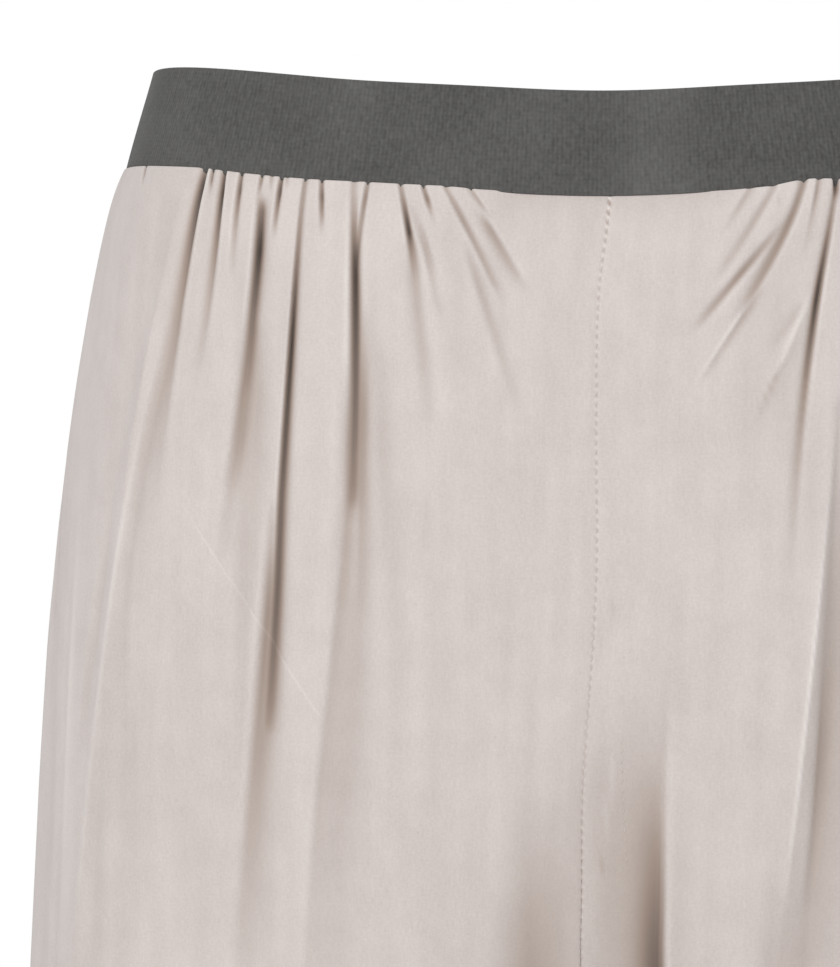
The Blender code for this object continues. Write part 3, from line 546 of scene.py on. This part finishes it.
def make_panel(name, side, facing, columns, fan_rows, upper_rows, leg_rows, material):
    """A front or back panel: a grid of shares by levels, from behind the band to inside the hem."""
    shares = crowded(columns, seam_and_gathers)
    fan = FAN_DROP * np.linspace(0, 1, fan_rows + 1)[1:]
    upper = FAN_DROP + (FINE_DROP - FAN_DROP) * np.linspace(0, 1, upper_rows + 1)[1:] ** UPPER_SPREAD
    leg_length = -BAND_HALF_HEIGHT - HEM_LEVEL - HEM_ROUND - FINE_DROP
    legs = FINE_DROP + leg_length * np.linspace(0, 1, leg_rows + 1)[1:] ** LEG_SPREAD
    turned = np.linspace(0, math.pi, HEM_ROWS + 1)[1:]
    hem_drop = FINE_DROP + leg_length + HEM_ROUND * np.sin(turned)
    inner_drop = FINE_DROP + leg_length - np.linspace(0, HEM_ALLOWANCE, HEM_ROWS + 1)[1:]
    behind = np.array([-ALLOWANCE, -ALLOWANCE / 2, BEHIND_END])
    drops = np.concatenate([behind, np.zeros(ROLL_ROWS + 1), fan, upper, legs, hem_drop, inner_drop])
    rolled = np.full(len(drops), math.pi)
    rolled[: len(behind)] = 0
    rolled[len(behind) : len(behind) + ROLL_ROWS + 1] = np.linspace(0, math.pi, ROLL_ROWS + 1)
    inset = np.zeros(len(drops))
    inset[: len(behind)] = ALLOWANCE_INSET
    inset[-len(turned) - len(inner_drop) : -len(inner_drop)] = HEM_ROUND * (1 - np.cos(turned))
    inset[-len(inner_drop) :] = 2 * HEM_ROUND
    share, level = np.meshgrid(shares, -BAND_HALF_HEIGHT - drops)
    flat = 0 * share
    points, lost = panel_surface(share, level, side, facing, rolled[:, None] + flat, inset[:, None] + flat)
    uv = np.stack([side * body_run(share, level, facing), level], axis=-1)
    if side * facing > 0:
        points, lost, uv = points[:, ::-1], lost[:, ::-1], uv[:, ::-1]
    return grid_object(name, points, material, uv, lost)


class Shade:
    """A number from a shader's socket. Expressions on it add Math nodes."""

    def __init__(self, tree, socket):
        self.tree, self.socket = tree, socket

    def math(self, operation, *values):
        return node(self.tree, "ShaderNodeMath", {"operation": operation}, dict(enumerate(values)))

    def sine(self):
        return self.math("SINE", self)

    def exp(self):
        return self.math("EXPONENT", self)

    def above(self, least):
        return self.math("MAXIMUM", self, least)

    def below(self, most):
        return self.math("MINIMUM", self, most)

    def __add__(self, other):
        return self.math("ADD", self, other)

    def __mul__(self, other):
        return self.math("MULTIPLY", self, other)

    def __sub__(self, other):
        return self.math("SUBTRACT", self, other)

    def __rsub__(self, other):
        return self.math("SUBTRACT", other, self)

    __radd__, __rmul__ = __add__, __mul__


def node(tree, kind, settings, inputs, output=0):
    """Any node: its settings are set first, then the values or links of its sockets."""
    made = tree.nodes.new(kind)
    for name, value in settings.items():
        setattr(made, name, value)
    for name, value in inputs.items():
        if isinstance(value, Shade):
            tree.links.new(value.socket, made.inputs[name])
        else:
            made.inputs[name].default_value = value
    return Shade(tree, made.outputs[output]) if made.outputs else None


def new_material(name):
    """An empty material and its node tree."""
    material = bpy.data.materials.new(name)
    material.use_nodes = True
    material.node_tree.nodes.clear()
    return material, material.node_tree


def finish_material(tree, inputs):
    """The Principled shader with these inputs, on the output."""
    shader = node(tree, "ShaderNodeBsdfPrincipled", {}, inputs)
    node(tree, "ShaderNodeOutputMaterial", {}, {"Surface": shader})


def mixed(tree, factor, first, second):
    """A colour between two, by a factor."""
    return node(tree, "ShaderNodeMix", {"data_type": "RGBA"}, {"Factor": factor, "A": first, "B": second}, 2)


SATIN_LIT, SATIN_SHADED = (0.664, 0.604, 0.577, 1), (0.532, 0.474, 0.449, 1)
# The warm and deep colours are painted shade, mixed in where the cloth loses light inside its folds.
SATIN_PAINTED_SHADE_WARM, SATIN_PAINTED_SHADE_DEEP = (0.330, 0.255, 0.212, 1), (0.040, 0.025, 0.018, 1)
# The sheen colour is a painted highlight, mixed in where a fold's rim, a ridge or the crease gains light.
SATIN_PAINTED_HIGHLIGHT = (0.800, 0.745, 0.710, 1)
# Noises: how often they repeat in a metre across and along the cloth, and their detail.
WARP, GRAIN = ((1500, 280, 1), 2.0), ((900, 1100, 1), 2.0)
STREAKS, PATCHES, MOTTLE = ((150, 14, 1), 2.0), ((22, 16, 1), 3.0), ((85, 70, 1), 3.0)
WARP_SHARE, GRAIN_SHARE, WEAVE_TONE, UNEVEN_TONE, TONE_START = 0.4, 0.6, 1.55, 0.6, 1.17
MARK_HEIGHT, CREASE_HEIGHT = 0.8, 1.5  # against the weave's own height
# How fast, and how far at most, gained light paints the highlight colour into the satin.
PAINTED_HIGHLIGHT_GAIN, PAINTED_HIGHLIGHT_MOST = 4, 0.8
# Stitch marks of the centre seams, painted as shade in the stitch holes and along the seam: how dark a mark
# and the seam between marks are, high up and lower down.
STITCH_STEP, MARK_WIDTH, MARK_FADE = 0.0035, 0.0007, 0.012
MARK_SLANT, MARK_UNEVEN, MARK_PAINTED_SHADE, SEAM_PAINTED_SHADE, UPPER_PAINTED_SHADE, LOWER_PAINTED_SHADE = 0.9, 6.0, 0.9, 0.3, 0.36, 0.09
# One pressed crease from and to these places, across and level, bumped, with a painted highlight along it,
# and patchy.
CREASE_FROM, CREASE_TO, CREASE_WIDTH = (-0.150, -0.1365), (-0.092, -0.2205), 0.0005
CREASE_PAINTED_HIGHLIGHT, CREASE_SWELL, CREASE_PATCHY, CREASE_GAPS = 0.06, 6, 4, 1.5


def run_to(across, level):
    """How far round from the centre seam a point of the front lies, as the UV's u."""
    shares = np.linspace(0, abs(turn_of(across, level)), RUN_POINTS)
    return math.copysign(body_run(shares, level, FRONT)[-1], across)


def satin_material():
    """Dusty greige satin: warp streaks, faint mottling, painted shade darker and warmer deep inside a fold,
    and painted highlights.
    """
    material, tree = new_material("dusty_greige_satin_woven")
    where = node(tree, "ShaderNodeUVMap", {"uv_map": "cloth"}, {})
    def noise(scale, detail):
        stretched = node(tree, "ShaderNodeMapping", {}, {"Vector": where, "Scale": scale})
        return node(tree, "ShaderNodeTexNoise", {}, {"Vector": stretched, "Scale": 1.0, "Detail": detail})
    warp, grain = noise(*WARP), noise(*GRAIN)
    streaks, patches, mottle = noise(*STREAKS), noise(*PATCHES), noise(*MOTTLE)
    lost = node(tree, "ShaderNodeAttribute", {"attribute_name": "light_lost"}, {}, 2)
    weave = warp * WARP_SHARE + grain * GRAIN_SHARE
    tone = weave * WEAVE_TONE + mottle * UNEVEN_TONE
    tone = tone + patches * UNEVEN_TONE + streaks * UNEVEN_TONE - TONE_START
    colour = mixed(tree, tone, SATIN_SHADED, SATIN_LIT)
    u = node(tree, "ShaderNodeSeparateXYZ", {}, {"Vector": where}, 0)
    v = node(tree, "ShaderNodeSeparateXYZ", {}, {"Vector": where}, 1)
    across = u * (1 / MARK_WIDTH)
    near = (across * across * -1).exp()
    mark = (v * (2 * math.pi / STITCH_STEP) + across * MARK_SLANT + mottle * MARK_UNEVEN).sine() * near
    upper = (v * (1 / MARK_FADE) + BAND_HALF_HEIGHT / MARK_FADE).below(0).exp()
    # The stitch marks and the seam between them add painted shade.
    lost = lost + (mark * MARK_PAINTED_SHADE + near * SEAM_PAINTED_SHADE) * (upper * UPPER_PAINTED_SHADE + LOWER_PAINTED_SHADE)
    first, last = [np.array([run_to(*end), end[1]]) for end in (CREASE_FROM, CREASE_TO)]
    length = np.linalg.norm(last - first)
    way = (last - first) / length**2
    along = (u - first[0]) * way[0] + (v - first[1]) * way[1]
    off = ((u - first[0]) * way[1] - (v - first[1]) * way[0]) * (length / CREASE_WIDTH)
    swell = (along * (1 - along) * CREASE_SWELL).above(0).below(1)
    crease = (off * off * -1).exp() * swell * (patches * CREASE_PATCHY - CREASE_GAPS).above(0).below(1)
    # The crease's light is a painted highlight.
    lost = lost - crease * CREASE_PAINTED_HIGHLIGHT
    # Painted highlight: where light is gained, the satin turns towards the highlight colour.
    colour = mixed(tree, (lost * -PAINTED_HIGHLIGHT_GAIN).above(0).below(PAINTED_HIGHLIGHT_MOST), colour, SATIN_PAINTED_HIGHLIGHT)
    # Painted shade: lost light turns the satin first to the warm colour, then to the deep one.
    colour = mixed(tree, (lost * 2).above(0).below(1), colour, SATIN_PAINTED_SHADE_WARM)
    colour = mixed(tree, (lost * 2 - 1).above(0), colour, SATIN_PAINTED_SHADE_DEEP)
    height = weave + mark * MARK_HEIGHT + crease * CREASE_HEIGHT
    bump = node(tree, "ShaderNodeBump", {}, {"Height": height, "Strength": 0.25, "Distance": 0.0002})
    finish_material(tree, {
        "Base Color": colour, "Roughness": 0.42 + weave * 0.2, "Specular IOR Level": 0.35,
        "Sheen Weight": 0.18, "Sheen Roughness": 0.45, "Normal": bump,
    })
    return material


satin = satin_material()
for side, hand in ((LEFT, "left"), (RIGHT, "right")):
    panel = make_panel("front_panel_" + hand, side, FRONT, *FRONT_GRID, satin)
    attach(panel, "root")
    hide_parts("front_" + hand)

# Back panels. The same satin, cut a little wider than the fronts, gathered all the way from the side
# seams to the centre back, and joined to the fronts at the side seams and inseams.

BACK_GRID = (400, 60, 46, 30)

for side, hand in ((LEFT, "left"), (RIGHT, "right")):
    panel = make_panel("back_panel_" + hand, side, BACK, *BACK_GRID, satin)
    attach(panel, "root")
    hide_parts("back_" + hand)

# Seam stitches. Polyester thread in a tone of the satin, a lockstitch of about 3.5 mm, along the
# centre-front and centre-back seams, with a short second line right of the front one. Each stitch is
# sunk a little in the cloth.

STITCH_PITCH, STITCH_LENGTH, THREAD_RADIUS, STITCH_SLANT = 0.0035, 0.0022, 0.00016, 0.35
SEAM_LINE_TOP, FRONT_LINE_LOW, BACK_LINE_LOW = -0.0195, -0.312, -0.29
SECOND_LINE_FIRST, SECOND_LINE_LAST = (0.0115, -0.215), (0.0142, -0.262)  # across and level
SEAM_LINE_POINTS, SECOND_LINE_POINTS = 400, 60
SEAM_LINE_LIFT, SECOND_LINE_LIFT = 0.00005, 0.00002
STITCH_ROUND, STITCH_ALONG, STITCH_TIP = 6, 5, 0.02
THREAD_DARK, THREAD_LIGHT = (0.52, 0.45, 0.41, 1), (0.68, 0.61, 0.57, 1)


def along_line(points, pitch):
    """Places and directions at an even pitch along a line of points."""
    steps = np.linalg.norm(np.diff(points, axis=0), axis=1)
    length = np.concatenate([[0], np.cumsum(steps)])
    at = np.arange(pitch / 2, length[-1], pitch)
    places, ahead, behind = [
        np.stack([np.interp(where, length, points[:, i]) for i in range(3)], axis=-1)
        for where in (at, at + pitch / 4, at - pitch / 4)
    ]
    return places, unit(ahead - behind)


def stitch_object(name, lines, material):
    """Short thread spindles in one mesh: rings whose radius follows half a sine along the stitch."""
    around = np.arange(STITCH_ROUND) * 2 * math.pi / STITCH_ROUND
    along = np.linspace(-1, 1, STITCH_ALONG)
    all_points, all_faces, total = [], [], 0
    for points, out in lines:
        places, ways = along_line(points, STITCH_PITCH)
        sides = unit(np.cross(ways, out))
        ways = unit(ways + STITCH_SLANT * sides)
        sides = unit(np.cross(ways, out))
        outs = unit(np.cross(sides, ways))
        radius = THREAD_RADIUS * np.sqrt(np.maximum(1 - along**2, STITCH_TIP))
        ring = radius[:, None, None] * np.stack([np.cos(around), np.sin(around)], axis=-1)
        made = (
            places[:, None, None] + (along * STITCH_LENGTH / 2)[None, :, None, None] * ways[:, None, None]
            + ring[None, :, :, :1] * sides[:, None, None] + ring[None, :, :, 1:] * outs[:, None, None]
        )
        index = np.arange(made.size // 3).reshape(made.shape[:-1]) + total
        wrapped = np.concatenate([index, index[:, :, :1]], axis=2)
        all_points.append(made.reshape(-1, 3))
        all_faces += cell_corners(wrapped).tolist() + index[:, 0, ::-1].tolist() + index[:, -1].tolist()
        total += index.size
    mesh = bpy.data.meshes.new(name)
    mesh.from_pydata(np.concatenate(all_points), [], all_faces)
    mesh.materials.append(material)
    mesh.shade_smooth()
    return linked(name, mesh)


def thread_material():
    """Matt thread, a little uneven in tone along its length."""
    material, tree = new_material("greige_thread")
    where = node(tree, "ShaderNodeTexCoord", {}, {}, 3)
    tone = node(tree, "ShaderNodeTexNoise", {}, {"Vector": where, "Scale": 420.0, "Detail": 1.0})
    colour = mixed(tree, tone, THREAD_DARK, THREAD_LIGHT)
    finish_material(tree, {"Base Color": colour, "Roughness": 0.6 + tone * 0.2})
    return material


def line_on_panel(side, facing, shares, levels, lift):
    """A line on a panel, lifted off it along its own way out, and that way out."""
    points = panel_surface(shares, levels, side, facing, math.pi)[0]
    across, forward = oval(shares * math.pi / 2)
    out = unit(np.stack([side * across, facing * forward, 0 * shares], axis=-1))
    return points + lift * out, out.mean(axis=0)


thread = thread_material()
seam_lines = []
for facing, low in ((FRONT, FRONT_LINE_LOW), (BACK, BACK_LINE_LOW)):
    levels = np.linspace(SEAM_LINE_TOP, low, SEAM_LINE_POINTS)
    seam_lines.append(line_on_panel(LEFT, facing, np.zeros_like(levels), levels, SEAM_LINE_LIFT))
across, levels = np.linspace(SECOND_LINE_FIRST, SECOND_LINE_LAST, SECOND_LINE_POINTS).T
seam_lines.append(line_on_panel(RIGHT, FRONT, turn_of(across, levels), levels, SECOND_LINE_LIFT))
stitches = stitch_object("seam_stitches", seam_lines, thread)
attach(stitches, "root")

# Waistband. One ring of 38 mm woven elastic, charcoal grey, worn on the outside: the cloth is sewn under
# its lower edge. Fine upright ribs and cross rows show all round, and both edges are rounded over.

BAND_WALL, BAND_EDGE_ROUND = 0.0018, 0.0004
BAND_HALF = 0.0190
BAND_COLUMNS, BAND_ROWS, CORNER_ROWS = 560, 12, 3
RIB_PITCH, ROW_PITCH = 0.0016, 0.0015
YARN_SCALE, UNEVEN_SCALE, DRIFT_SCALE = (620, 240, 1), 640.0, 28.0  # how often each repeats in a metre
RIB_DRIFT, RIB_YARNS, ROW_YARNS = 7.0, 3.2, 3.0  # how far the ribs and rows waver
RIB_HEIGHT, ROW_HEIGHT, CROSS_HEIGHT, UNEVEN_HEIGHT = 0.30, 0.10, 0.1, 0.5
HEIGHT_TONE, UNEVEN_SHARE, YARN_TONE, DRIFT_TONE, ELASTIC_START = 0.28, 0.8, 0.85, 0.8, 0.8
ELASTIC_DARK, ELASTIC_LIGHT = (0.046, 0.045, 0.043, 1), (0.118, 0.116, 0.111, 1)
SIDE_SLACK = 0.0014  # at the sides the elastic leans in, so its upper edge sits lower
# Painted highlights on the elastic: upright bands of lighter tone where it would bend and catch the light.
GLINT_COLUMNS = ("along", "width", "tone")  # where the elastic bends a little and catches the light
PAINTED_GLINTS = ((0.371, 0.011, 0.10), (0.484, 0.016, 0.26))


def band_surface(turns, inset, level):
    """Points of the ring: the form's oval at that level, drawn in by inset, dipping at the front."""
    across, forward = oval(turns * math.pi / 2)
    half = section("half_width", level)
    depth = np.where(np.abs(turns) <= 1, section("front", level), section("back", level))
    outward = unit(np.stack([across / half, -forward / depth], axis=-1))
    dip = np.where(np.abs(turns) < 1, front_dip(across), 0)
    x, y = half * across - inset * outward[..., 0], -depth * forward - inset * outward[..., 1]
    slack = SIDE_SLACK * across**6 * (level + BAND_HALF) / (2 * BAND_HALF)
    return np.stack([x, y, level - dip - slack], axis=-1)


def elastic_material():
    """Charcoal elastic: upright ribs and cross rows in tone and height, with a dusty unevenness and two
    painted highlights.
    """
    material, tree = new_material("charcoal_elastic_ribbed")
    where = node(tree, "ShaderNodeUVMap", {"uv_map": "cloth"}, {})
    u = node(tree, "ShaderNodeSeparateXYZ", {}, {"Vector": where}, 0)
    v = node(tree, "ShaderNodeSeparateXYZ", {}, {"Vector": where}, 1)
    upright = node(tree, "ShaderNodeMapping", {}, {"Vector": where, "Scale": YARN_SCALE})
    yarns = node(tree, "ShaderNodeTexNoise", {}, {"Vector": upright, "Scale": 1.0, "Detail": 2.0})
    uneven = node(tree, "ShaderNodeTexNoise", {}, {"Vector": where, "Scale": UNEVEN_SCALE, "Detail": 1.0})
    drift = node(tree, "ShaderNodeTexNoise", {}, {"Vector": where, "Scale": DRIFT_SCALE, "Detail": 3.0})
    ribs = (u * (2 * math.pi / RIB_PITCH) + drift * RIB_DRIFT + yarns * RIB_YARNS).sine()
    rows = (v * (2 * math.pi / ROW_PITCH) + yarns * ROW_YARNS).sine()
    height = ribs * RIB_HEIGHT + rows * ROW_HEIGHT + ribs * rows * CROSS_HEIGHT
    tone = height * HEIGHT_TONE + uneven * UNEVEN_SHARE
    tone = tone + yarns * YARN_TONE + drift * DRIFT_TONE - ELASTIC_START
    # Painted highlights: upright bands of lighter tone.
    for row in PAINTED_GLINTS:
        glint = dict(zip(GLINT_COLUMNS, row))
        off = (u - glint["along"]) * (1 / glint["width"])
        tone = tone + (off * off * -1).exp() * glint["tone"]
    height = height + uneven * UNEVEN_HEIGHT
    bump = node(tree, "ShaderNodeBump", {}, {"Height": height, "Strength": 0.5, "Distance": 0.00025})
    finish_material(tree, {
        "Base Color": mixed(tree, tone, ELASTIC_DARK, ELASTIC_LIGHT), "Roughness": 0.62 + uneven * 0.2,
        "Specular IOR Level": 0.35, "Sheen Weight": 0.08, "Normal": bump,
    })
    return material


corner = np.linspace(0, math.pi / 2, CORNER_ROWS + 1)
outer_levels = np.linspace(-BAND_HALF + BAND_EDGE_ROUND, BAND_HALF - BAND_EDGE_ROUND, BAND_ROWS)
half_profile = [(0.0, level) for level in outer_levels]
half_profile += [
    (BAND_EDGE_ROUND * (1 - math.cos(a)), BAND_HALF - BAND_EDGE_ROUND * (1 - math.sin(a))) for a in corner[1:]
]
profile = half_profile + [(BAND_WALL - inset, level) for inset, level in half_profile[::-1]]
profile += [(BAND_WALL - inset, -level) for inset, level in half_profile[-CORNER_ROWS:]]
profile += [(inset, -level) for inset, level in half_profile[: -CORNER_ROWS - 1 : -1]]
turns = np.arange(BAND_COLUMNS) * 4 / BAND_COLUMNS - 2
rings = np.stack([band_surface(turns, inset, level) for inset, level in profile])
insets_levels = np.array(profile + profile[:1])
band_run = np.concatenate([[0], np.cumsum(np.linalg.norm(np.diff(insets_levels, axis=0), axis=1))])
around = np.concatenate([[0], np.cumsum(np.linalg.norm(np.diff(rings[0], axis=0), axis=1))])
around = np.append(around, around[-1] + np.linalg.norm(rings[0, 0] - rings[0, -1]))
band_uv = np.stack(np.broadcast_arrays(around[None, :], band_run[:, None]), axis=-1)
elastic = elastic_material()
waistband = grid_object("waistband_elastic", rings, elastic, band_uv)
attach(waistband, "root")
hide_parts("waistband")

# Studio. A plain pale floor under the hems, two large soft lights and a pale surround, and a long lens
# at the photo's angle. None of it belongs to the part.

FLOOR_LEVEL, FLOOR_REACH = -1.05, 40
LIGHT_AIM, LIGHT_SIZE = (0, 0, -0.3), 1.8
KEY_PLACE, KEY_WATTS = (-2.8, -2.75, 2.0), 76
FILL_PLACE, FILL_WATTS = (2.2, -3.4, 1.3), 46
SURROUND_LIGHT, SURROUND_SEEN = 0.59, 0.41  # the surround's strength, and what it has more where it is seen
CAMERA_PLACE, CAMERA_AIM = (0, -3.205, -0.2883), (-0.0655, -0.105, -0.1383)
CAMERA_LENS, CAMERA_SENSOR = 325.1, 36

floor_mesh = bpy.data.meshes.new("floor")
floor_corners = np.array([(-1, -1, 0), (1, -1, 0), (1, 1, 0), (-1, 1, 0)]) * FLOOR_REACH + [0, 0, FLOOR_LEVEL]
floor_mesh.from_pydata(floor_corners, [], [(0, 1, 2, 3)])
floor = linked("floor", floor_mesh)
pale, pale_tree = new_material("pale_floor")
finish_material(pale_tree, {"Base Color": (0.82, 0.82, 0.82, 1), "Roughness": 0.8})
floor_mesh.materials.append(pale)


def aimed(name, data, place, towards):
    """A light or camera at a place, looking towards another."""
    made = linked(name, data)
    made.location = place
    made.rotation_mode = "QUATERNION"
    made.rotation_quaternion = (Vector(towards) - Vector(place)).to_track_quat("-Z", "Y")
    return made


def soft_light(name, place, watts):
    """A large square area light aimed at the part."""
    data = bpy.data.lights.new(name, "AREA")
    data.shape, data.size, data.energy = "SQUARE", LIGHT_SIZE, watts
    return aimed(name, data, place, LIGHT_AIM)


soft_light("key_left", KEY_PLACE, KEY_WATTS)
soft_light("fill_right", FILL_PLACE, FILL_WATTS)

world = bpy.data.worlds.new("studio")
bpy.context.scene.world = world
world.use_nodes = True
tree = world.node_tree
tree.nodes.clear()
seen = node(tree, "ShaderNodeLightPath", {}, {}, 0)
strength = seen * SURROUND_SEEN + SURROUND_LIGHT
background = node(tree, "ShaderNodeBackground", {}, {"Color": (1, 1, 1, 1), "Strength": strength})
node(tree, "ShaderNodeOutputWorld", {}, {"Surface": background})

camera_data = bpy.data.cameras.new("camera")
camera_data.lens, camera_data.sensor_width = CAMERA_LENS, CAMERA_SENSOR
bpy.context.scene.camera = aimed("camera", camera_data, CAMERA_PLACE, CAMERA_AIM)
bpy.context.scene.view_settings.view_transform = "Standard"
